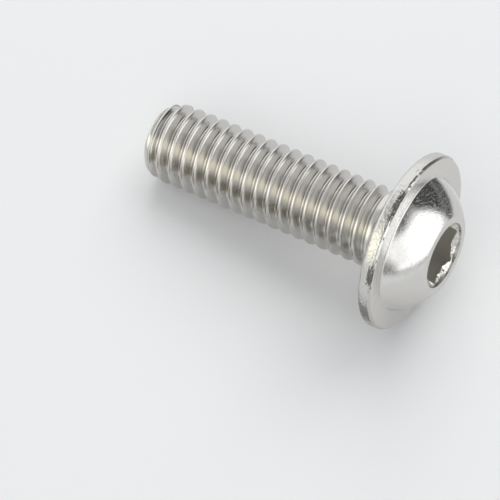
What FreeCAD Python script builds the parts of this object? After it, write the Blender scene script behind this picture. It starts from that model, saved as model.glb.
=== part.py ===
import FreeCAD, Part
import math
import os

# Button head screw with a collar and a hexagon socket, M6 x 20, cold-formed from one
# piece of stainless wire. Its shank is plain here, at the diameter over the crests of
# the fine rolled thread. Millimetres and degrees.
# It is built along its own axis: the bearing face under the collar is at height 0,
# the head is above it and the shank below. At the end it is laid down on its side.

# shank
thread_diameter = 5.8       # over the crests of the thread, as rolled
screw_length = 19.85        # from the bearing face to the end, 20 nominal

# rounded point
point_diameter = 4.84       # of the flat end face
point_length = 1.4          # of the curve from the end face to the full thread

# neck under the collar, the wire as it was before the thread was rolled
neck_diameter = 5.3
neck_length = 0.9           # from the bearing face to the foot of the taper
taper_length = 0.4          # of the taper out to the shank
neck_fillet = 0.25          # round between the neck and the bearing face

# collar
collar_diameter = 13.0
collar_thickness = 1.05
collar_back_round = 0.3     # edge on the bearing side
collar_front_round = 0.08   # edge on the head side

# dome
dome_diameter = 10.0        # at its foot on the collar
head_height = 3.27          # from the bearing face to the flat top
top_diameter = 5.94         # of the flat top
dome_foot_round = 0.12      # round where the dome meets the collar
top_edge_round = 0.15       # round where the dome meets the flat top

# hexagon socket
socket_across_flats = 4.0
socket_depth = 2.2          # from the flat top to the end of the walls
socket_bottom_depth = 0.35  # of the blunt cone below the walls
socket_turn = -9.0          # turns the corners about the axis
mouth_diameter = 4.86       # of the countersink in the flat top
mouth_angle = 120.0         # included angle of the countersink

# how far cutting tools reach past what they cut
clearance = 0.1


def at(radius, height):
    return FreeCAD.Vector(radius, 0, height)


def arc_through(start, middle, end):
    return Part.Arc(start, middle, end).toShape()


def line(start, end):
    return Part.LineSegment(start, end).toShape()


def round_corner(before, corner, after, radius):
    """Tangent points of a round on a corner between two straight runs, and its middle."""
    one = (before - corner).normalize()
    two = (after - corner).normalize()
    half = one.getAngle(two) / 2
    reach = radius / math.tan(half)
    inward = (one + two).normalize()
    centre = corner + inward * (radius / math.sin(half))
    return corner + one * reach, centre - inward * radius, corner + two * reach


def turned(edges):
    """The solid that a closed outline in the XZ plane sweeps when it turns about the axis."""
    face = Part.Face(Part.Wire(Part.__sortEdges__(edges)))
    return face.revolve(FreeCAD.Vector(), FreeCAD.Vector(0, 0, 1), 360)


def point_outline():
    """The rounded point: end face centre, then the curve up to the full thread diameter."""
    end_radius = point_diameter / 2
    full_radius = thread_diameter / 2
    rise = full_radius - end_radius
    curve = (point_length**2 + rise**2) / (2 * rise)
    start = at(end_radius, -screw_length)
    end = at(full_radius, point_length - screw_length)
    half_turn = math.asin(point_length / curve) / 2
    middle = at(
        full_radius - curve + curve * math.cos(half_turn),
        end.z - curve * math.sin(half_turn),
    )
    return [line(at(0, -screw_length), start), arc_through(start, middle, end)], end


def blank_outline():
    """Half the outline of the screw before its thread and socket are made."""
    edges, shank = point_outline()
    neck_radius = neck_diameter / 2
    collar_radius = collar_diameter / 2
    taper_top = at(neck_radius, -neck_length)
    taper_foot = at(shank.x, -neck_length - taper_length)
    edges += [line(shank, taper_foot), line(taper_foot, taper_top)]

    root = round_corner(taper_top, at(neck_radius, 0), at(collar_radius, 0), neck_fillet)
    edges += [line(taper_top, root[0]), arc_through(*root)]

    back_corner = at(collar_radius, 0)
    front_corner = at(collar_radius, collar_thickness)
    dome_foot = at(dome_diameter / 2, collar_thickness)
    back = round_corner(root[2], back_corner, front_corner, collar_back_round)
    front = round_corner(back[2], front_corner, dome_foot, collar_front_round)
    edges += [line(root[2], back[0]), arc_through(*back)]
    edges += [line(back[2], front[0]), arc_through(*front)]
    return edges + dome_outline(front[2])


def dome_outline(collar_edge):
    """From the collar's front face over the foot round, the dome and the flat top."""
    foot_radius = dome_diameter / 2
    top_radius = top_diameter / 2
    rise = head_height - collar_thickness
    # the dome is part of a ball whose centre lies on the axis
    centre_z = (
        collar_thickness + (rise**2 + top_radius**2 - foot_radius**2) / (2 * rise)
    )
    ball = math.hypot(foot_radius, collar_thickness - centre_z)

    # foot round: tangent to the collar's face and to the outside of the ball
    foot_centre_z = collar_thickness + dome_foot_round
    foot_centre_x = math.sqrt(
        (ball + dome_foot_round) ** 2 - (foot_centre_z - centre_z) ** 2
    )
    foot_centre = at(foot_centre_x, foot_centre_z)
    ball_centre = at(0, centre_z)
    toward_ball = (ball_centre - foot_centre).normalize()
    foot_low = at(foot_centre_x, collar_thickness)
    foot_high = foot_centre + toward_ball * dome_foot_round
    between = (toward_ball + FreeCAD.Vector(0, 0, -1)).normalize()
    foot_middle = foot_centre + between * dome_foot_round

    # top round: tangent to the flat top and to the inside of the ball
    top_centre_z = head_height - top_edge_round
    top_centre_x = math.sqrt(
        (ball - top_edge_round) ** 2 - (top_centre_z - centre_z) ** 2
    )
    top_centre = at(top_centre_x, top_centre_z)
    from_ball = (top_centre - ball_centre).normalize()
    top_low = top_centre + from_ball * top_edge_round
    top_high = at(top_centre_x, head_height)
    top_middle = top_centre + (
        from_ball + FreeCAD.Vector(0, 0, 1)
    ).normalize() * top_edge_round

    dome_middle = (foot_high + top_low) * 0.5 - ball_centre
    dome_middle = ball_centre + dome_middle.normalize() * ball
    axis_foot = at(0, -screw_length)
    axis_top = at(0, head_height)
    return [
        line(collar_edge, foot_low),
        arc_through(foot_low, foot_middle, foot_high),
        arc_through(foot_high, dome_middle, top_low),
        arc_through(top_low, top_middle, top_high),
        line(top_high, axis_top),
        line(axis_top, axis_foot),
    ]


def socket():
    """The hexagon socket: its six walls, a blunt cone below them and the countersink."""
    corner_radius = socket_across_flats / math.sqrt(3)
    floor_z = head_height - socket_depth
    corners = []
    for corner in range(6):
        angle = math.radians(socket_turn + 60 * corner)
        corners.append(
            FreeCAD.Vector(
                corner_radius * math.cos(angle), corner_radius * math.sin(angle), floor_z
            )
        )
    outline = Part.makePolygon(corners + corners[:1])
    walls = Part.Face(outline).extrude(FreeCAD.Vector(0, 0, socket_depth + clearance))

    bottom_radius = socket_across_flats / 2
    bottom = Part.makeCone(
        0, bottom_radius, socket_bottom_depth, at(0, floor_z - socket_bottom_depth)
    )

    # the countersink starts a little above the flat top and ends on the axis
    slope = math.tan(math.radians(mouth_angle / 2))
    wide = mouth_diameter / 2 + clearance * slope
    mouth = Part.makeCone(
        0, wide, wide / slope, at(0, head_height + clearance - wide / slope)
    )
    return walls.fuse([bottom, mouth])


def resting_lean():
    """The axis leans so that the collar's back edge and the point's curve touch the floor."""
    rise = (thread_diameter - point_diameter) / 2
    curve = (point_length**2 + rise**2) / (2 * rise)
    collar_radius = collar_diameter / 2
    back = collar_back_round
    along = back + screw_length - point_length
    across = (collar_radius - back) - (thread_diameter / 2 - curve)
    lean = math.atan2(across, along)
    lean += math.asin((back - curve) / math.hypot(along, across))
    lift = (collar_radius - back) * math.cos(lean) + back - back * math.sin(lean)
    return lean, lift


def lie_down(solid):
    """Lay the screw on its side along X, point toward -X, with its box centred on Z."""
    lean, lift = resting_lean()
    along = FreeCAD.Vector(math.cos(lean), 0, math.sin(lean))
    above = FreeCAD.Vector(-math.sin(lean), 0, math.cos(lean))
    across = FreeCAD.Vector(0, 1, 0)
    left = -screw_length * along.x - point_diameter / 2 * along.z
    right = head_height * along.x + top_diameter / 2 * along.z
    place = FreeCAD.Placement(
        FreeCAD.Vector(-(left + right) / 2, 0, lift),
        FreeCAD.Rotation(across, above, along, "ZXY"),
    )
    solid.Placement = place
    return solid


os.makedirs("parts", exist_ok=True)
screw = turned(blank_outline())
screw = screw.cut(socket())
screw = lie_down(screw.Solids[0])
screw.exportStep("parts/button_head_screw.step")

box = screw.BoundBox
print("valid", screw.isValid(), "solids", len(screw.Solids), "faces", len(screw.Faces))
print("volume mm3", round(screw.Volume, 2))
print("box mm", [round(v, 3) for v in (box.XMin, box.YMin, box.ZMin, box.XMax, box.YMax, box.ZMax)])
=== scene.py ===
import math

import bmesh
import bpy
from mathutils import Matrix, Vector, noise


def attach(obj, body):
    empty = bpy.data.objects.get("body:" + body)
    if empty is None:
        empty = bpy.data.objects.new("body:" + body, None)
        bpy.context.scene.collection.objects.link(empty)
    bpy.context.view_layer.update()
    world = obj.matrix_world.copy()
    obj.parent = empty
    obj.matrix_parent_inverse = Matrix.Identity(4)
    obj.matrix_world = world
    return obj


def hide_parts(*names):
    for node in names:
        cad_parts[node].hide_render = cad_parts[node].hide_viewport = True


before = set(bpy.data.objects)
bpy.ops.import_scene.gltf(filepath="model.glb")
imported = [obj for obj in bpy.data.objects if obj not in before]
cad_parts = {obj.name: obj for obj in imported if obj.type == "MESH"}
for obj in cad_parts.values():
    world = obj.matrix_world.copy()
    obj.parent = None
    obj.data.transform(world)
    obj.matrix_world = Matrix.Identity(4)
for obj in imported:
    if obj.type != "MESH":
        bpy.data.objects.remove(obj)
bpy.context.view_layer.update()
print("frame loaded")

mm = 0.001


# Helpers

def linearColour(code):
    # sRGB hex to the linear colour that a shader takes
    channels = []
    for start in (0, 2, 4):
        value = int(code[start:start + 2], 16) / 255
        channels.append(value / 12.92 if value <= 0.04045 else ((value + 0.055) / 1.055) ** 2.4)
    return (*channels, 1.0)


def addNode(tree, kind, settings, inputs):
    # inputs is a list or a dictionary; a socket in it is linked, anything else is a value
    node = tree.nodes.new(kind)
    for name, value in settings.items():
        setattr(node, name, value)
    pairs = enumerate(inputs) if isinstance(inputs, list) else inputs.items()
    for key, value in pairs:
        if isinstance(value, bpy.types.NodeSocket):
            tree.links.new(value, node.inputs[key])
        elif value is not None:
            node.inputs[key].default_value = value
    return node.outputs


# Where the screw lies: the same pose as the solid's, from the same sizes

screwSizes = {
    "crestDiameter": 5.8,
    "length": 19.85,           # bearing face to end face
    "pointDiameter": 4.84,
    "pointLength": 1.4,
    "neckDiameter": 5.3,
    "neckLength": 0.9,
    "taperLength": 0.4,
    "neckFillet": 0.25,
    "collarDiameter": 13.0,
    "collarThickness": 1.05,
    "backRound": 0.3,
    # the rim turns in before its front edge: each radius, and the angle in degrees it reaches
    "shoulderRounds": ((0.1, 22.0), (1.2, 38.0)),
    "frontRound": 0.04,        # of the front edge
    "domeDiameter": 10.0,
    "headHeight": 3.27,
    "topDiameter": 5.94,
    "footRound": 0.12,
    "topRound": 0.15,
    "acrossFlats": 4.0,
    "socketDepth": 2.2,
    "socketBottom": 0.35,
    "socketTurn": -9.0,        # degrees, corner of the hexagon from the +Y side
    "mouthDiameter": 4.86,
    "mouthAngle": 120.0,
    # dish in the end face: share of its radius and depth at each ring, and at the middle
    "dishRings": ((0.96, 0.006), (0.85, 0.03), (0.6, 0.07), (0.3, 0.09)),
    "dishDepth": 0.095,
    "stepsAround": 192,        # a whole number in each sixth, so that corners lie on steps
    "sharpAngle": 28.0,        # between two faces of the head, past which their edge is sharp
    "mergeDistance": 0.001,    # corners that are closer than this become one
}


def restingPlace(size):
    # back round of the collar and curve of the point both touch the floor
    rise = (size["crestDiameter"] - size["pointDiameter"]) / 2
    curve = (size["pointLength"] ** 2 + rise ** 2) / (2 * rise)
    radius = size["collarDiameter"] / 2
    back = size["backRound"]
    along = back + size["length"] - size["pointLength"]
    across = (radius - back) - (size["crestDiameter"] / 2 - curve)
    lean = math.atan2(across, along) + math.asin((back - curve) / math.hypot(along, across))
    lift = (radius - back) * math.cos(lean) + back - back * math.sin(lean)
    left = -size["length"] * math.cos(lean) - size["pointDiameter"] / 2 * math.sin(lean)
    right = size["headHeight"] * math.cos(lean) + size["topDiameter"] / 2 * math.sin(lean)
    place = Matrix((
        (0, -math.sin(lean), math.cos(lean), -(left + right) / 2 * mm),
        (1, 0, 0, 0),
        (0, math.cos(lean), math.sin(lean), lift * mm),
        (0, 0, 0, 1),
    ))
    return place, lean


screwPlace, screwLean = restingPlace(screwSizes)


# Rolled thread, from the end face to the neck, made by Geometry Nodes

threadSizes = {
    "pitch": 1.0,
    "flankAngle": 60.0,
    "crestFlat": 0.145,        # width of a crest, measured between its flanks' lines
    "crestRound": 0.045,       # of a crest's two edges
    "rootRadius": 0.144,
    "crestPhase": 0.115,       # height of a crest above a whole pitch on the +Y side
    "runoutStart": 2.2,        # below the bearing face, where the groove starts to rise
    "runoutEnd": 1.4,          # below the bearing face, where it has left the shank
    "runoutRise": 1.1,         # how far the groove has risen there, in depths of the groove
    "seamDepth": 0.2,          # of the open seam in the crests on the point, at most
    "seamShare": 0.6,          # its depth, as a share of what the point takes off the crest
    "jointHeight": -0.5,       # where the thread's mesh meets the head's
    "jointReach": 0.06,        # a row that ends closer than this under the joint is put on it
    "rowsPerPitch": 18,        # rows of the mesh, half of them on each side of the groove
    "rootRows": 3,             # of a half, those on the round root
    "flankRows": 2,            # those on the flank, and the rest are on the crest
    "mergeDistance": 0.0005,
}


def threadTree():
    tree = bpy.data.node_groups.new("rolledThread", "GeometryNodeTree")
    tree.interface.new_socket("Geometry", in_out="OUTPUT", socket_type="NodeSocketGeometry")
    names = [
        "Pitch", "Crest Radius", "Flank Slope", "Root Half Width", "Root Radius", "Root Depth",
        "Crest Round", "Crest Top", "Crest Half Width", "First Groove", "Length", "Joint Height",
        "Point Length", "Point Curve", "Neck Radius", "Neck Height", "Taper Height",
        "Runout Start", "Runout End", "Runout Rise", "First Angle", "Seam Depth", "Seam Share",
        "Joint Reach", "Root Rows Share", "Flank Rows Share", "Merge Distance",
    ]
    for name in names:
        tree.interface.new_socket(name, in_out="INPUT", socket_type="NodeSocketFloat")
    for name in ("Steps Around", "Rows", "Rows Per Pitch"):
        tree.interface.new_socket(name, in_out="INPUT", socket_type="NodeSocketInt")
    tree.interface.new_socket("Material", in_out="INPUT", socket_type="NodeSocketMaterial")
    given = addNode(tree, "NodeGroupInput", {}, {})

    # a sheet whose columns are steps around and whose rows follow the helix
    columns = addNode(tree, "ShaderNodeMath", {"operation": "ADD"}, [given["Steps Around"], 1])[0]
    sheet = addNode(tree, "GeometryNodeMeshGrid", {}, [1.0, 1.0, columns, given["Rows"]])[0]
    spot = addNode(tree, "GeometryNodeInputPosition", {}, {})[0]
    parts = addNode(tree, "ShaderNodeSeparateXYZ", {}, [spot])
    share = addNode(tree, "ShaderNodeMath", {"operation": "ADD"}, [parts[0], 0.5])[0]
    column = addNode(
        tree, "ShaderNodeMath", {"operation": "MULTIPLY"}, [share, given["Steps Around"]])[0]
    column = addNode(tree, "ShaderNodeMath", {"operation": "ROUND"}, [column])[0]
    turn = addNode(
        tree, "ShaderNodeMath", {"operation": "DIVIDE"}, [column, given["Steps Around"]])[0]
    turn = addNode(tree, "ShaderNodeMath", {"operation": "ADD"}, [turn, given["First Angle"]])[0]
    lastRow = addNode(tree, "ShaderNodeMath", {"operation": "SUBTRACT"}, [given["Rows"], 1])[0]
    share = addNode(tree, "ShaderNodeMath", {"operation": "ADD"}, [parts[1], 0.5])[0]
    row = addNode(tree, "ShaderNodeMath", {"operation": "MULTIPLY"}, [share, lastRow])[0]
    row = addNode(tree, "ShaderNodeMath", {"operation": "ROUND"}, [row])[0]
    rowTurn = addNode(
        tree, "ShaderNodeMath", {"operation": "DIVIDE"}, [row, given["Rows Per Pitch"]])[0]
    whole = addNode(tree, "ShaderNodeMath", {"operation": "FLOOR"}, [rowTurn])[0]
    step = addNode(tree, "ShaderNodeMath", {"operation": "SUBTRACT"}, [rowTurn, whole])[0]
    side = addNode(tree, "ShaderNodeMath", {"operation": "SUBTRACT"}, [step, 0.5])[0]
    sign = addNode(tree, "ShaderNodeMath", {"operation": "SIGN"}, [side])[0]
    away = addNode(tree, "ShaderNodeMath", {"operation": "ABSOLUTE"}, [side])[0]

    # rows stand close on the round root and the crest, and wider on the straight flanks
    root = addNode(
        tree, "ShaderNodeMapRange", {},
        [away, 0.0, given["Root Rows Share"], 0.0, given["Root Half Width"]])[0]
    halfPitch = addNode(
        tree, "ShaderNodeMath", {"operation": "MULTIPLY"}, [given["Pitch"], 0.5])[0]
    crestFoot = addNode(
        tree, "ShaderNodeMath", {"operation": "SUBTRACT"},
        [halfPitch, given["Crest Half Width"]])[0]
    flankWidth = addNode(
        tree, "ShaderNodeMath", {"operation": "SUBTRACT"},
        [crestFoot, given["Root Half Width"]])[0]
    flank = addNode(
        tree, "ShaderNodeMapRange", {},
        [away, given["Root Rows Share"], given["Flank Rows Share"], 0.0, flankWidth])[0]
    crest = addNode(
        tree, "ShaderNodeMapRange", {},
        [away, given["Flank Rows Share"], 0.5, 0.0, given["Crest Half Width"]])[0]
    reach = addNode(tree, "ShaderNodeMath", {"operation": "ADD"}, [root, flank])[0]
    reach = addNode(tree, "ShaderNodeMath", {"operation": "ADD"}, [reach, crest])[0]
    reach = addNode(tree, "ShaderNodeMath", {"operation": "MULTIPLY"}, [reach, sign])[0]

    # height along the axis, kept between the end face and the neck
    turns = addNode(tree, "ShaderNodeMath", {"operation": "ADD"}, [whole, turn])[0]
    climb = addNode(
        tree, "ShaderNodeMath", {"operation": "MULTIPLY"}, [turns, given["Pitch"]])[0]
    climb = addNode(
        tree, "ShaderNodeMath", {"operation": "ADD"}, [climb, given["First Groove"]])[0]
    height = addNode(tree, "ShaderNodeMath", {"operation": "ADD"}, [climb, reach])[0]
    endHeight = addNode(tree, "ShaderNodeMath", {"operation": "MULTIPLY"}, [given["Length"], -1])[0]
    height = addNode(tree, "ShaderNodeMath", {"operation": "MAXIMUM"}, [height, endHeight])[0]
    # a row that ends close under the joint is put on it, so that no sliver is left
    close = addNode(
        tree, "ShaderNodeMath", {"operation": "SUBTRACT"},
        [given["Joint Height"], given["Joint Reach"]])[0]
    close = addNode(tree, "ShaderNodeMath", {"operation": "GREATER_THAN"}, [height, close])[0]
    above = addNode(
        tree, "ShaderNodeMath", {"operation": "SUBTRACT"}, [given["Joint Height"], height])[0]
    height = addNode(
        tree, "ShaderNodeMath", {"operation": "MULTIPLY_ADD"}, [close, above, height])[0]

    # distance from the nearest groove's middle, at that height and angle
    helix = addNode(
        tree, "ShaderNodeMath", {"operation": "MULTIPLY"}, [turn, given["Pitch"]])[0]
    helix = addNode(
        tree, "ShaderNodeMath", {"operation": "ADD"}, [helix, given["First Groove"]])[0]
    offset = addNode(tree, "ShaderNodeMath", {"operation": "SUBTRACT"}, [height, helix])[0]
    pitches = addNode(
        tree, "ShaderNodeMath", {"operation": "DIVIDE"}, [offset, given["Pitch"]])[0]
    nearest = addNode(tree, "ShaderNodeMath", {"operation": "ROUND"}, [pitches])[0]
    gap = addNode(tree, "ShaderNodeMath", {"operation": "SUBTRACT"}, [pitches, nearest])[0]
    gap = addNode(tree, "ShaderNodeMath", {"operation": "MULTIPLY"}, [gap, given["Pitch"]])[0]
    grooveHeight = addNode(tree, "ShaderNodeMath", {"operation": "SUBTRACT"}, [height, gap])[0]
    gap = addNode(tree, "ShaderNodeMath", {"operation": "ABSOLUTE"}, [gap])[0]

    # depth below the crests: a round root, straight flanks and rounded crests
    inRoot = addNode(
        tree, "ShaderNodeMath", {"operation": "MINIMUM"}, [gap, given["Root Half Width"]])[0]
    square = addNode(tree, "ShaderNodeMath", {"operation": "POWER"}, [inRoot, 2])[0]
    full = addNode(tree, "ShaderNodeMath", {"operation": "POWER"}, [given["Root Radius"], 2])[0]
    rest = addNode(tree, "ShaderNodeMath", {"operation": "SUBTRACT"}, [full, square])[0]
    arc = addNode(tree, "ShaderNodeMath", {"operation": "SQRT"}, [rest])[0]
    rootDepth = addNode(
        tree, "ShaderNodeMath", {"operation": "SUBTRACT"},
        [given["Root Depth"], given["Root Radius"]])[0]
    rootDepth = addNode(tree, "ShaderNodeMath", {"operation": "ADD"}, [rootDepth, arc])[0]
    fromCrest = addNode(tree, "ShaderNodeMath", {"operation": "SUBTRACT"}, [halfPitch, gap])[0]
    onCrest = addNode(
        tree, "ShaderNodeMath", {"operation": "MINIMUM"},
        [fromCrest, given["Crest Half Width"]])[0]
    onFlank = addNode(
        tree, "ShaderNodeMath", {"operation": "SUBTRACT"}, [fromCrest, onCrest])[0]
    onRound = addNode(
        tree, "ShaderNodeMath", {"operation": "SUBTRACT"}, [onCrest, given["Crest Top"]])[0]
    onRound = addNode(tree, "ShaderNodeMath", {"operation": "MAXIMUM"}, [onRound, 0.0])[0]
    square = addNode(tree, "ShaderNodeMath", {"operation": "POWER"}, [onRound, 2])[0]
    full = addNode(tree, "ShaderNodeMath", {"operation": "POWER"}, [given["Crest Round"], 2])[0]
    rest = addNode(tree, "ShaderNodeMath", {"operation": "SUBTRACT"}, [full, square])[0]
    arc = addNode(tree, "ShaderNodeMath", {"operation": "SQRT"}, [rest])[0]
    crestDepth = addNode(
        tree, "ShaderNodeMath", {"operation": "SUBTRACT"}, [given["Crest Round"], arc])[0]
    flankDepth = addNode(
        tree, "ShaderNodeMath", {"operation": "MULTIPLY_ADD"},
        [onFlank, given["Flank Slope"], crestDepth])[0]
    depth = addNode(tree, "ShaderNodeMath", {"operation": "MINIMUM"}, [rootDepth, flankDepth])[0]

    # the groove rises out of the shank below the neck
    runout = addNode(
        tree, "ShaderNodeMapRange", {},
        [grooveHeight, given["Runout Start"], given["Runout End"], 0.0, 1.0])[0]
    runout = addNode(tree, "ShaderNodeMath", {"operation": "POWER"}, [runout, 2])[0]
    lift = addNode(
        tree, "ShaderNodeMath", {"operation": "MULTIPLY"},
        [given["Root Depth"], given["Runout Rise"]])[0]
    lift = addNode(tree, "ShaderNodeMath", {"operation": "MULTIPLY"}, [lift, runout])[0]
    depth = addNode(tree, "ShaderNodeMath", {"operation": "SUBTRACT"}, [depth, lift])[0]
    grooved = addNode(
        tree, "ShaderNodeMath", {"operation": "SUBTRACT"}, [given["Crest Radius"], depth])[0]

    # the blank that the thread was rolled on: rounded point, shank, taper and neck
    pointStart = addNode(
        tree, "ShaderNodeMath", {"operation": "ADD"}, [endHeight, given["Point Length"]])[0]
    past = addNode(tree, "ShaderNodeMath", {"operation": "SUBTRACT"}, [pointStart, height])[0]
    past = addNode(tree, "ShaderNodeMath", {"operation": "MAXIMUM"}, [past, 0.0])[0]
    past = addNode(tree, "ShaderNodeMath", {"operation": "POWER"}, [past, 2])[0]
    full = addNode(tree, "ShaderNodeMath", {"operation": "POWER"}, [given["Point Curve"], 2])[0]
    rest = addNode(tree, "ShaderNodeMath", {"operation": "SUBTRACT"}, [full, past])[0]
    arc = addNode(tree, "ShaderNodeMath", {"operation": "SQRT"}, [rest])[0]
    drop = addNode(
        tree, "ShaderNodeMath", {"operation": "SUBTRACT"}, [given["Point Curve"], arc])[0]
    point = addNode(
        tree, "ShaderNodeMath", {"operation": "SUBTRACT"}, [given["Crest Radius"], drop])[0]
    taper = addNode(
        tree, "ShaderNodeMapRange", {},
        [height, given["Taper Height"], given["Neck Height"], given["Crest Radius"],
         given["Neck Radius"]])[0]
    blank = addNode(tree, "ShaderNodeMath", {"operation": "MINIMUM"}, [point, taper])[0]
    # crests that the point cuts short keep an open seam in their middle
    seam = addNode(
        tree, "ShaderNodeMath", {"operation": "MULTIPLY"}, [drop, given["Seam Share"]])[0]
    seam = addNode(tree, "ShaderNodeMath", {"operation": "MINIMUM"}, [seam, given["Seam Depth"]])[0]
    seam = addNode(tree, "ShaderNodeMath", {"operation": "SUBTRACT"}, [seam, fromCrest])[0]
    seam = addNode(tree, "ShaderNodeMath", {"operation": "MAXIMUM"}, [seam, 0.0])[0]
    blank = addNode(tree, "ShaderNodeMath", {"operation": "SUBTRACT"}, [blank, seam])[0]
    radius = addNode(tree, "ShaderNodeMath", {"operation": "MINIMUM"}, [blank, grooved])[0]

    # round the axis
    angle = addNode(
        tree, "ShaderNodeMath", {"operation": "MULTIPLY"}, [turn, 2 * math.pi])[0]
    cosine = addNode(tree, "ShaderNodeMath", {"operation": "COSINE"}, [angle])[0]
    sine = addNode(tree, "ShaderNodeMath", {"operation": "SINE"}, [angle])[0]
    x = addNode(tree, "ShaderNodeMath", {"operation": "MULTIPLY"}, [radius, cosine])[0]
    y = addNode(tree, "ShaderNodeMath", {"operation": "MULTIPLY"}, [radius, sine])[0]
    place = addNode(tree, "ShaderNodeCombineXYZ", {}, [x, y, height])[0]
    moved = addNode(
        tree, "GeometryNodeSetPosition", {}, {"Geometry": sheet, "Position": place})[0]
    merged = addNode(
        tree, "GeometryNodeMergeByDistance", {},
        {"Geometry": moved, "Distance": given["Merge Distance"]})[0]
    single = addNode(tree, "GeometryNodeRealizeInstances", {}, [merged])[0]
    finished = addNode(
        tree, "GeometryNodeSetMaterial", {},
        {"Geometry": single, "Material": given["Material"]})[0]
    addNode(tree, "NodeGroupOutput", {}, [finished])
    return tree


def rolledThread(screw, size, material):
    # the thread's sheet in millimetres, round the Z axis, as a plain mesh
    radius = screw["crestDiameter"] / 2
    rise = radius - screw["pointDiameter"] / 2
    halfAngle = math.radians(size["flankAngle"] / 2)
    halfGroove = (size["pitch"] - size["crestFlat"]) / 2
    slope = 1 / math.tan(halfAngle)
    crestRound = size["crestRound"]
    crestTop = size["crestFlat"] / 2 - crestRound * (1 - math.sin(halfAngle)) / math.cos(halfAngle)
    rootDepth = halfGroove * slope - size["rootRadius"] / math.sin(halfAngle) + size["rootRadius"]
    firstAngle = screw["socketTurn"] / 360
    # the sheet starts at a crest below the end face and ends past the joint, all round
    crestBelow = -math.ceil(screw["length"] / size["pitch"] + 0.5) * size["pitch"]
    firstGroove = crestBelow + size["crestPhase"] + size["pitch"] / 2
    pitches = math.ceil((size["jointHeight"] - firstGroove) / size["pitch"] + 0.6)
    values = {
        "Pitch": size["pitch"],
        "Crest Radius": radius,
        "Flank Slope": slope,
        "Root Half Width": size["rootRadius"] * math.cos(halfAngle),
        "Root Radius": size["rootRadius"],
        "Root Depth": rootDepth,
        "Crest Round": crestRound,
        "Crest Top": crestTop,
        "Crest Half Width": crestTop + crestRound * math.cos(halfAngle),
        "First Groove": firstGroove,
        "Length": screw["length"],
        "Joint Height": size["jointHeight"],
        "Point Length": screw["pointLength"],
        "Point Curve": (screw["pointLength"] ** 2 + rise ** 2) / (2 * rise),
        "Neck Radius": screw["neckDiameter"] / 2,
        "Neck Height": -screw["neckLength"],
        "Taper Height": -screw["neckLength"] - screw["taperLength"],
        "Runout Start": -size["runoutStart"],
        "Runout End": -size["runoutEnd"],
        "Runout Rise": size["runoutRise"],
        "First Angle": firstAngle,
        "Seam Depth": size["seamDepth"],
        "Seam Share": size["seamShare"],
        "Joint Reach": size["jointReach"],
        "Root Rows Share": size["rootRows"] / size["rowsPerPitch"],
        "Flank Rows Share": (size["rootRows"] + size["flankRows"]) / size["rowsPerPitch"],
        "Merge Distance": size["mergeDistance"],
        "Steps Around": screw["stepsAround"],
        "Rows": pitches * size["rowsPerPitch"] + 1,
        "Rows Per Pitch": size["rowsPerPitch"],
        "Material": material,
    }
    tree = threadTree()
    holder = bpy.data.objects.new("threadSheet", bpy.data.meshes.new("threadSheet"))
    bpy.context.scene.collection.objects.link(holder)
    maker = holder.modifiers.new("rolledThread", "NODES")
    maker.node_group = tree
    for item in tree.interface.items_tree:
        if item.in_out == "INPUT":
            maker[item.identifier] = values[item.name]
    view = bpy.context.evaluated_depsgraph_get()
    mesh = bpy.data.meshes.new_from_object(holder.evaluated_get(view))
    holder.modifiers.remove(maker)
    bpy.data.objects.remove(holder)
    return mesh


# Head: rings from the neck over the collar and the dome into the socket

def arcPoints(centre, radius, start, end, steps):
    # points after the first, angles in degrees from the outward direction
    points = []
    for step in range(1, steps + 1):
        angle = math.radians(start + (end - start) * step / steps)
        points.append((centre[0] + radius * math.cos(angle), centre[1] + radius * math.sin(angle)))
    return points


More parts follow.
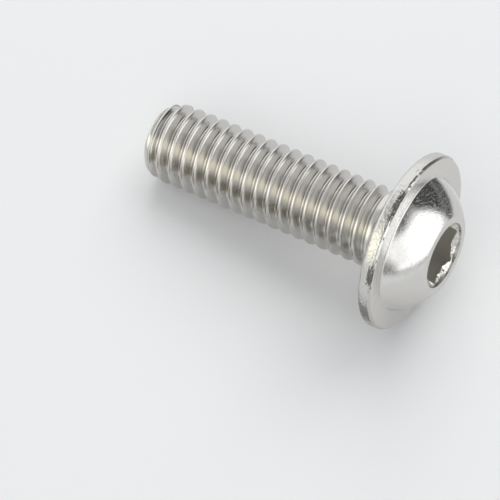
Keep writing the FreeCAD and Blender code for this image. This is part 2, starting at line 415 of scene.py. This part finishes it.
def headRings(size):
    # each ring is (radius or None for the hexagon, height, zone), and in the countersink it is
    # (share of the way in to the hexagon, None, zone); the last number of an arc is its steps
    neck = size["neckDiameter"] / 2
    fillet = size["neckFillet"]
    collar = size["collarDiameter"] / 2
    thick = size["collarThickness"]
    back = size["backRound"]
    front = size["frontRound"]
    foot = size["footRound"]
    top = size["topRound"]
    height = size["headHeight"]
    rise = height - thick
    topRadius = size["topDiameter"] / 2
    footRadius = size["domeDiameter"] / 2
    centre = thick + (rise ** 2 + topRadius ** 2 - footRadius ** 2) / (2 * rise)
    ball = math.hypot(footRadius, thick - centre)
    footCentre = (math.sqrt((ball + foot) ** 2 - (thick + foot - centre) ** 2), thick + foot)
    topCentre = (math.sqrt((ball - top) ** 2 - (height - top - centre) ** 2), height - top)
    footAngle = math.degrees(math.atan2(footCentre[1] - centre, footCentre[0]))
    topAngle = math.degrees(math.atan2(topCentre[1] - centre, topCentre[0]))
    rings = [(neck, -fillet, "shank")]
    rings += [(r, z, "shank") for r, z in arcPoints((neck + fillet, -fillet), fillet, 180, 90, 6)]
    span = collar - back - neck - fillet
    rings += [(neck + fillet + span * share, 0, "underside") for share in (0.4, 0.8, 0.97)]
    rings.append((collar - back, 0, "rim"))
    rings += [(r, z, "rim") for r, z in arcPoints((collar - back, back), back, -90, 0, 8)]
    # the shoulder's rounds with their two angles, and the height where the first one starts
    bends = []
    start = 0
    low = thick - front
    for radius, end in size["shoulderRounds"]:
        bends.append((radius, start, end))
        low -= radius * (math.sin(math.radians(end)) - math.sin(math.radians(start)))
        start = end
    low += front * math.sin(math.radians(start))
    rings += [(collar, back + (low - back) * share, "rim") for share in (0.2, 0.4, 0.6, 0.8, 1)]
    for radius, start, end in bends:
        middle = (rings[-1][0] - radius * math.cos(math.radians(start)),
                  rings[-1][1] - radius * math.sin(math.radians(start)))
        rings += [(r, z, "rim") for r, z in arcPoints(middle, radius, start, end, 5)]
    edge = rings[-1][0] - front * math.cos(math.radians(end))
    rings += [(r, z, "lip") for r, z in arcPoints((edge, thick - front), front, end, 90, 3)]
    span = edge - footCentre[0]
    rings += [(edge - span * share, thick, "dome") for share in (0.08, 0.3, 0.65, 1)]
    rings += [(r, z, "dome") for r, z in arcPoints(footCentre, foot, 270, 180 + footAngle, 5)]
    rings += [(r, z, "dome") for r, z in arcPoints((0, centre), ball, footAngle, topAngle, 28)]
    rings += [(r, z, "dome") for r, z in arcPoints(topCentre, top, topAngle, 90, 6)]
    mouth = size["mouthDiameter"] / 2
    rings += [((topCentre[0] + mouth) / 2, height, "dome"), (mouth, height, "dome")]
    rings += [(share, None, "mouth") for share in (0.12, 0.24, 0.36, 0.48, 0.6, 0.72, 0.84, 1)]
    floor = height - size["socketDepth"]
    rings += [(None, floor + drop, "socket") for drop in (1.2, 0.6, 0.15, 0)]
    flat = size["acrossFlats"] / 2
    bottom = size["socketBottom"]
    rings += [(flat * share, floor - bottom * (1 - share), "socket")
              for share in (0.995, 0.8, 0.55, 0.3, 0.1)]
    return rings


# Grain and uneven metal that show as a shape

grainSizes = {
    "rim": {
        "finer": 3,                # steps of its rings in each step of the others
        "grains": (0.17, 0.08),    # mm, coarse and fine
        "depths": (0.045, 0.022),  # mm, into the metal only
    },
    "mouth": {"finer": 3, "grains": (0.45, 0.18), "depths": (0.26, 0.08)},
}

# the metal at the rim's shoulder spread unevenly: a full chamfer in some places, and a rounder,
# narrower shoulder between them
shoulderSizes = {
    # angle and half spread of each full chamfer, in degrees from the +Y side
    "fullPlaces": ((97, 14), (146, 9), (232, 12), (280, 15), (330, 11), (15, 12)),
    "waver": 3,                # of those angles, in degrees
    "roundPower": 4,           # 1 is a straight chamfer, and more is rounder and narrower
    "innerRadius": 6.326,      # mm, where the shoulder ends
}

# dark painted shade goes on the chamfer's faces where fullness, raggedness and inwardness add up to
# enough
paintedShadeSizes = {
    "lowest": 0.6,             # mm above the bearing face
    "grain": 0.12,             # mm, of its ragged edge
    "raggedness": 0.9,         # how much the raggedness adds or takes, at most
    "inwardReach": 0.17,       # mm in from the rim, where inwardness is full
    "inwardShare": 0.4,        # how much that adds
    "enough": 0.85,
}


def grained(spot, size):
    # how deep the surface lies at this spot
    deep = 0
    for grain, depth in zip(size["grains"], size["depths"]):
        deep += depth * (0.5 + 0.5 * noise.noise(spot / grain))
    return deep


def chamferFullness(spot):
    # from 0, rounder shoulder, to 1, full chamfer, at this spot on the rim
    around = math.degrees(math.atan2(spot.y, spot.x)) % 360
    around += shoulderSizes["waver"] * noise.noise(spot)
    fullness = 0
    for angle, spread in shoulderSizes["fullPlaces"]:
        away = abs((around - angle + 180) % 360 - 180) / spread
        fullness = max(fullness, math.exp(-away ** 2))
    return fullness


def shoulderRadius(spot, size):
    # distance from the axis on the rim's uneven shoulder
    collar = size["collarDiameter"] / 2
    width = collar - shoulderSizes["innerRadius"]
    share = (collar - math.hypot(spot.x, spot.y)) / width
    power = shoulderSizes["roundPower"]
    return collar - width * share ** (power + (1 - power) * chamferFullness(spot))


def joinRings(shape, low, high, zone):
    # either ring may have a whole number of times the other's steps
    steps = min(len(low), len(high))
    for step in range(steps):
        corners = []
        for ring, order in ((low, 1), (high, -1)):
            each = len(ring) // steps
            run = [ring[(step * each + part) % len(ring)] for part in range(each + 1)]
            corners += run[::order]
        shape.faces.new(corners).material_index = zone


def closeRing(shape, ring, height, zone):
    # from the ring to a middle on the axis, at this height
    middle = shape.verts.new((0, 0, height))
    for one in range(len(ring)):
        shape.faces.new((ring[one], ring[(one + 1) % len(ring)], middle)).material_index = zone


def endFace(shape, size, zone):
    # the slightly dished end face, inside the lower of the thread's two open ends
    edges = [edge for edge in shape.edges if edge.is_boundary]
    low = [edge for edge in edges if max(v.co.z for v in edge.verts) < -size["length"] / 2]
    corners = list({corner for edge in low for corner in edge.verts})
    corners.sort(key=lambda corner: math.atan2(corner.co.y, corner.co.x))
    ring = corners
    for share, dish in size["dishRings"]:
        inner = []
        for corner in corners:
            spot = Vector((corner.co.x * share, corner.co.y * share, dish - size["length"]))
            inner.append(shape.verts.new(spot))
        joinRings(shape, ring, inner, zone)
        ring = inner
    closeRing(shape, ring, size["dishDepth"] - size["length"], zone)


def ringSpot(screw, turn, ring, grainy):
    # a ring's point, at this turn from a corner of the hexagon
    radius, height, zone = ring
    angle = math.radians(screw["socketTurn"]) + turn
    hexagon = screw["acrossFlats"] / 2 / math.cos(turn % (math.pi / 3) - math.pi / 6)
    if height is None:       # countersink, from the round mouth to the hexagon
        mouth = screw["mouthDiameter"] / 2
        r = mouth + (hexagon - mouth) * radius
        z = screw["headHeight"] - (mouth - r) / math.tan(math.radians(screw["mouthAngle"] / 2))
    else:
        r = hexagon if radius is None else radius
        z = height
    spot = Vector((r * math.cos(angle), r * math.sin(angle), z))
    if zone == "rim" and z > screw["backRound"] and r < screw["collarDiameter"] / 2:
        inward = shoulderRadius(spot, screw) / r
        spot *= Vector((inward, inward, 1))
    if grainy:
        # down in the countersink, and toward the axis on the rim
        deep = grained(spot, grainSizes[zone])
        spot -= Vector((0, 0, deep)) if height is None else spot * Vector((1, 1, 0)) * deep / r
    return spot


def buildHead(shape, screw, joint, zones):
    # neck rings start where the thread's sheet ends
    steps = screw["stepsAround"]
    rings = [(screw["neckDiameter"] / 2, joint, "shank")] + headRings(screw)
    before = None
    for place, ring in enumerate(rings):
        zone = ring[2]
        inside = zone in grainSizes and rings[place + 1][2] == zone
        finer = steps * (grainSizes[zone]["finer"] if inside else 1)
        grainy = inside or ring[1] is None
        corners = [shape.verts.new(ringSpot(screw, 2 * math.pi * step / finer, ring, grainy))
                   for step in range(finer)]
        if before:
            joinRings(shape, before, corners, zones.index(zone))
        before = corners
    bottom = screw["headHeight"] - screw["socketDepth"] - screw["socketBottom"]
    closeRing(shape, before, bottom, zones.index("socket"))


def markPaintedShade(shape, screw, size, zones):
    # faces of the rim that get the dark painted shade in the chamfer
    collar = screw["collarDiameter"] / 2
    for face in shape.faces:
        if face.material_index == zones.index("rim"):
            middle = face.calc_center_median()
            inward = (collar - math.hypot(middle.x, middle.y)) / size["inwardReach"]
            paintedShade = size["raggedness"] * noise.noise(middle / size["grain"])
            paintedShade += size["inwardShare"] * min(inward, 1) + chamferFullness(middle)
            if middle.z > size["lowest"] and paintedShade > size["enough"]:
                # these faces take the dark painted shade
                face.material_index = zones.index("paintedCreviceShade")


def buildScrew(screw, thread, paintedShade, materials):
    zones = list(materials)
    mesh = rolledThread(screw, thread, materials["shank"])
    shape = bmesh.new()
    shape.from_mesh(mesh)
    bpy.data.meshes.remove(mesh)
    # Realize Instances left an empty first material slot before the thread's own
    for face in shape.faces:
        face.material_index = zones.index("shank")
    endFace(shape, screw, zones.index("shank"))
    buildHead(shape, screw, thread["jointHeight"], zones)

    bmesh.ops.remove_doubles(shape, verts=shape.verts[:], dist=screw["mergeDistance"])
    bmesh.ops.recalc_face_normals(shape, faces=shape.faces[:])
    openEdges = [edge for edge in shape.edges if not edge.is_manifold]
    print("open edges", len(openEdges), "faces", len(shape.faces))
    # darken faces of the chamfer with painted shade
    markPaintedShade(shape, screw, paintedShade, zones)
    bmesh.ops.scale(shape, vec=(mm, mm, mm), verts=shape.verts[:])
    bmesh.ops.transform(shape, matrix=screwPlace, verts=shape.verts[:])
    for face in shape.faces:
        face.smooth = True
    body = bpy.data.meshes.new("buttonHeadScrew")
    shape.to_mesh(body)
    shape.free()

    # the thread's rounds have no sharp edge, and the head has
    body.set_sharp_from_angle(angle=math.radians(screw["sharpAngle"]))
    shank = [face for face in body.polygons if face.material_index == zones.index("shank")]
    rounded = {key for face in shank for key in face.edge_keys}
    for edge in body.edges:
        if edge.key in rounded:
            edge.use_edge_sharp = False
    for zone in zones:
        body.materials.append(materials[zone])
    piece = bpy.data.objects.new("buttonHeadScrew", body)
    bpy.context.scene.collection.objects.link(piece)
    return piece


# Materials

def steel(name, colour, roughness, patterns):
    # each pattern: turn in degrees about the axis, grain in mm (along the axis, one way
    # across it, the other way), depth in mm, change of roughness, part of the noise used
    material = bpy.data.materials.new(name)
    material.use_nodes = True
    tree = material.node_tree
    tree.nodes.clear()
    spot = addNode(tree, "ShaderNodeTexCoord", {}, {})["Object"]
    spot = addNode(
        tree, "ShaderNodeVectorRotate", {"rotation_type": "Y_AXIS"},
        {"Vector": spot, "Center": screwPlace.translation, "Angle": screwLean})[0]
    normal = None
    rough = None
    for turn, grain, depth, change, (low, high) in patterns:
        turned = addNode(
            tree, "ShaderNodeVectorRotate", {"rotation_type": "X_AXIS"},
            {"Vector": spot, "Center": screwPlace.translation, "Angle": math.radians(turn)})[0]
        scaled = addNode(
            tree, "ShaderNodeMapping", {},
            {"Vector": turned, "Scale": [1 / (side * mm) for side in grain]})[0]
        cloud = addNode(
            tree, "ShaderNodeTexNoise", {}, {"Vector": scaled, "Scale": 1.0, "Detail": 2.0})[0]
        used = addNode(tree, "ShaderNodeMapRange", {}, [cloud, low, high, 0.0, 1.0])[0]
        normal = addNode(
            tree, "ShaderNodeBump", {},
            {"Strength": 1.0, "Distance": depth * mm, "Height": used, "Normal": normal})[0]
        band = addNode(
            tree, "ShaderNodeMapRange", {},
            [used, 0.0, 1.0, roughness - change, roughness + change])[0]
        rough = band if rough is None else addNode(
            tree, "ShaderNodeMath", {"operation": "MAXIMUM"}, [rough, band])[0]
    shader = addNode(
        tree, "ShaderNodeBsdfPrincipled", {},
        {"Base Color": linearColour(colour), "Metallic": 1.0, "Roughness": rough,
         "Normal": normal})[0]
    addNode(tree, "ShaderNodeOutputMaterial", {}, {"Surface": shader})
    return material


even = (0.3, 0.7)
materials = {
    # thread rolled between dies: satin bright, with fine marks that run round the shank
    "shank": steel("rolledStainlessSteel", "CDCBC7", 0.25, [
        (0, (0.06, 1.5, 1.5), 0.0003, 0.02, even)]),
    # collar's bearing side, as the heading die left it
    "underside": steel("headedStainlessSteel", "CCCBC7", 0.3, [
        (0, (0.3, 0.3, 0.3), 0.004, 0.06, even)]),
    # collar's rim, free metal that spread in heading: coarse shiny grain
    "rim": steel("upsetStainlessSteel", "CCCBC8", 0.14, [
        (0, (0.1, 0.07, 0.07), 0.008, 0.03, even)]),
    # painted shade in the chamfer: a dull, dark steel that darkens it as shade in a crevice would
    "paintedCreviceShade": steel("creviceShadePaintedSteel", "7A7874", 0.3, [
        (0, (0.15, 0.07, 0.07), 0.012, 0.1, even)]),
    # front edge that the die closed on: smooth and bright
    "lip": steel("pressedStainlessSteel", "DCDBD8", 0.14, [
        (0, (0.2, 0.3, 0.3), 0.001, 0.03, even)]),
    # dome and front face, tumbled: bright, with fine grain and short scratches
    "dome": steel("tumbledStainlessSteel", "DCDBD9", 0.08, [
        (0, (0.07, 0.07, 0.07), 0.003, 0.02, (0.4, 0.8)),
        (35, (0.07, 0.05, 1.6), 0.006, 0.04, (0.63, 0.7)),
        (-50, (0.07, 0.05, 1.2), 0.006, 0.04, (0.64, 0.71))]),
    # countersink round the socket, dragged by the punch: crumpled and shiny
    "mouth": steel("crumpledStainlessSteel", "CFCDC8", 0.16, [
        (0, (0.2, 0.12, 0.12), 0.014, 0.04, even)]),
    # socket walls, dull from the punch
    "socket": steel("punchedStainlessSteel", "C8C6C0", 0.42, [
        (0, (0.8, 0.1, 0.1), 0.004, 0.05, even)]),
}
print("materials made")

screwPiece = buildScrew(screwSizes, threadSizes, paintedShadeSizes, materials)
print("screw made", len(screwPiece.data.polygons), "faces")
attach(screwPiece, "root")
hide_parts("button_head_screw")


# Floor, light and camera

studio = {
    "floorColour": "F0F1F2",
    "floorRoughness": 0.85,
    "floorSize": 1200,         # mm
    "backdrop": "EEF0F1",      # what the camera sees past the floor's edge
    "cardRoughness": 0.9,
    "tent": 0.78,              # brightness of the white tent all round, as the steel sees it
}

# colour and corners in mm
studioCards = {
    "blackCard": ("3A3A3A", ((31, 21, 0.3), (222, 212, 0.3), (10, 300, 0.3), (10, 30, 0.3))),
    "greyCard": ("A8A292", ((-12, -10.5, 0), (2, -10.5, 0), (2, -10.5, 6), (-12, -10.5, 6))),
    "paleCard": ("E4E4E3", ((11, -25, 0.2), (60, -25, 0.2), (60, 40, 0.2), (11, 40, 0.2))),
    "lowCard": ("909090", ((2, -14, 0.3), (9, -14, 0.3), (9, -7.5, 0.3), (2, -7.5, 0.3))),
}

# soft boxes that light the floor only: place, width, depth in m, power in W, colour
floorLamps = {
    "overheadBox": ((0, 0, 0.35), 1.8, 1.8, 4.9, "F8FBFF"),
    "backBox": ((-0.05, 0.30, 0.40), 0.5, 0.5, 1.51, "FFFDFA"),
    "frontBox": ((0.0, -0.30, 0.40), 0.5, 0.5, 0.72, "FFFDFA"),
}

# what hangs in the tent: azimuth from +X toward +Y, elevation, half width, half height,
# softness of the edges, all in degrees, then brightness for red, green and blue
tentPanels = [
    ("leftBox", (146, 30, 54, 37, 8), (1.25, 1.25, 1.25)),
    ("smallFlag", (186, 66, 24, 13, 5), (0.55, 0.55, 0.55)),
    ("overheadFlag", (15, 71, 34, 13, 4), (0.12, 0.12, 0.12)),
    ("rightBox", (-2, 28, 46, 25, 4), (1.8, 1.8, 1.8)),
    ("rightBoxEdge", (-40, 32, 13, 24, 7), (1.3, 1.3, 1.3)),
    ("lowFlag", (-73, 5, 25, 14, 7), (0.32, 0.32, 0.31)),
    ("cameraFlag", (-62, 66, 16, 11, 5), (0.15, 0.15, 0.15)),
    ("sideFlag", (70, 16, 24, 37, 5), (0.07, 0.07, 0.07)),
    ("sheetEdge", (-24, 1.0, 32, 2.2, 1.2), (0.3, 0.3, 0.3)),
    ("warmBox", (-130, 33, 18, 15, 7), (2.1, 2.03, 1.74)),
]


def matteSheet(name, finish, corners, colour, roughness):
    # a flat sheet of the studio, with its corners in mm
    mesh = bpy.data.meshes.new(name)
    mesh.from_pydata([Vector(corner) * mm for corner in corners], [], [(0, 1, 2, 3)])
    sheet = bpy.data.objects.new(name, mesh)
    bpy.context.scene.collection.objects.link(sheet)
    material = bpy.data.materials.new(finish)
    material.use_nodes = True
    shader = material.node_tree.nodes["Principled BSDF"]
    shader.inputs["Base Color"].default_value = linearColour(colour)
    shader.inputs["Roughness"].default_value = roughness
    mesh.materials.append(material)
    return sheet


def buildFloor(size):
    half = size["floorSize"] / 2
    corners = ((-half, -half, 0), (half, -half, 0), (half, half, 0), (-half, half, 0))
    matteSheet("floor", "matteCard", corners, size["floorColour"], size["floorRoughness"])


def buildCards(size, cards):
    # cards that only the steel sees, so that its low reflections aren't all white
    for name, (colour, corners) in cards.items():
        card = matteSheet(name, name, corners, colour, size["cardRoughness"])
        card.visible_camera = False
        card.visible_diffuse = False
        card.visible_shadow = False


def buildLamps(lamps):
    for name, (place, width, depth, power, colour) in lamps.items():
        data = bpy.data.lights.new(name, "AREA")
        data.shape = "RECTANGLE"
        data.size = width
        data.size_y = depth
        data.energy = power
        data.color = linearColour(colour)[:3]
        lamp = bpy.data.objects.new(name, data)
        lamp.location = place
        lamp.rotation_euler = Vector(place).to_track_quat("Z", "Y").to_euler()
        lamp.visible_camera = False
        lamp.visible_glossy = False
        bpy.context.scene.collection.objects.link(lamp)


def buildWorld(size, panels):
    # a white tent with soft boxes and dark flags, drawn by direction
    world = bpy.data.worlds.new("studio")
    world.use_nodes = True
    tree = world.node_tree
    tree.nodes.clear()
    ray = addNode(tree, "ShaderNodeTexCoord", {}, {})["Generated"]
    colour = (size["tent"], size["tent"], size["tent"], 1)
    for name, (azimuth, elevation, halfWidth, halfHeight, soft), shade in panels:
        turn, rise = math.radians(azimuth), math.radians(elevation)
        middle = (math.cos(rise) * math.cos(turn), math.cos(rise) * math.sin(turn), math.sin(rise))
        across = (-math.sin(turn), math.cos(turn), 0)
        upward = Vector(middle).cross(Vector(across))
        depth = addNode(
            tree, "ShaderNodeVectorMath", {"operation": "DOT_PRODUCT"}, [ray, middle])["Value"]
        # only in the half of the tent that the panel hangs in
        mask = addNode(
            tree, "ShaderNodeMath", {"operation": "GREATER_THAN"}, [depth, 0.01])[0]
        for direction, half in ((across, halfWidth), (upward, halfHeight)):
            reach = addNode(
                tree, "ShaderNodeVectorMath", {"operation": "DOT_PRODUCT"},
                [ray, direction])["Value"]
            angle = addNode(tree, "ShaderNodeMath", {"operation": "ARCTAN2"}, [reach, depth])[0]
            angle = addNode(tree, "ShaderNodeMath", {"operation": "ABSOLUTE"}, [angle])[0]
            edge = addNode(
                tree, "ShaderNodeMapRange", {"interpolation_type": "SMOOTHSTEP"},
                [angle, math.radians(half - soft), math.radians(half + soft), 1.0, 0.0])[0]
            mask = addNode(tree, "ShaderNodeMath", {"operation": "MULTIPLY"}, [mask, edge])[0]
        # its colours are inputs 6 and 7 and output 2
        colour = addNode(
            tree, "ShaderNodeMix", {"data_type": "RGBA", "label": name},
            {0: mask, 6: colour, 7: (*shade, 1)})[2]
    glow = addNode(tree, "ShaderNodeBackground", {}, {"Color": colour, "Strength": 1.0})[0]
    seen = addNode(
        tree, "ShaderNodeBackground", {},
        {"Color": linearColour(size["backdrop"]), "Strength": 1.0})[0]
    path = addNode(tree, "ShaderNodeLightPath", {}, {})["Is Camera Ray"]
    both = addNode(tree, "ShaderNodeMixShader", {}, [path, glow, seen])[0]
    addNode(tree, "ShaderNodeOutputWorld", {}, {"Surface": both})
    bpy.context.scene.world = world
    world.cycles_visibility.diffuse = False    # the floor has lamps of its own


# azimuth, elevation and distance come from the screw's proportions in the photograph
cameraSizes = {
    "lens": 262.7,             # mm
    "sensorWidth": 36,         # mm
    "nearest": 0.01,           # m, what it starts to see
    "place": (0.05209, -0.09833, 0.23584),
    "aim": (-0.2087, 0.3648, -0.9074),
}


def buildCamera(size):
    data = bpy.data.cameras.new("camera")
    data.lens = size["lens"]
    data.sensor_width = size["sensorWidth"]
    data.clip_start = size["nearest"]
    camera = bpy.data.objects.new("camera", data)
    camera.location = size["place"]
    camera.rotation_euler = Vector(size["aim"]).to_track_quat("-Z", "Y").to_euler()
    bpy.context.scene.collection.objects.link(camera)
    bpy.context.scene.camera = camera


buildFloor(studio)
buildCards(studio, studioCards)
buildLamps(floorLamps)
buildWorld(studio, tentPanels)
buildCamera(cameraSizes)
bpy.context.scene.view_settings.view_transform = "Standard"
print("studio made")
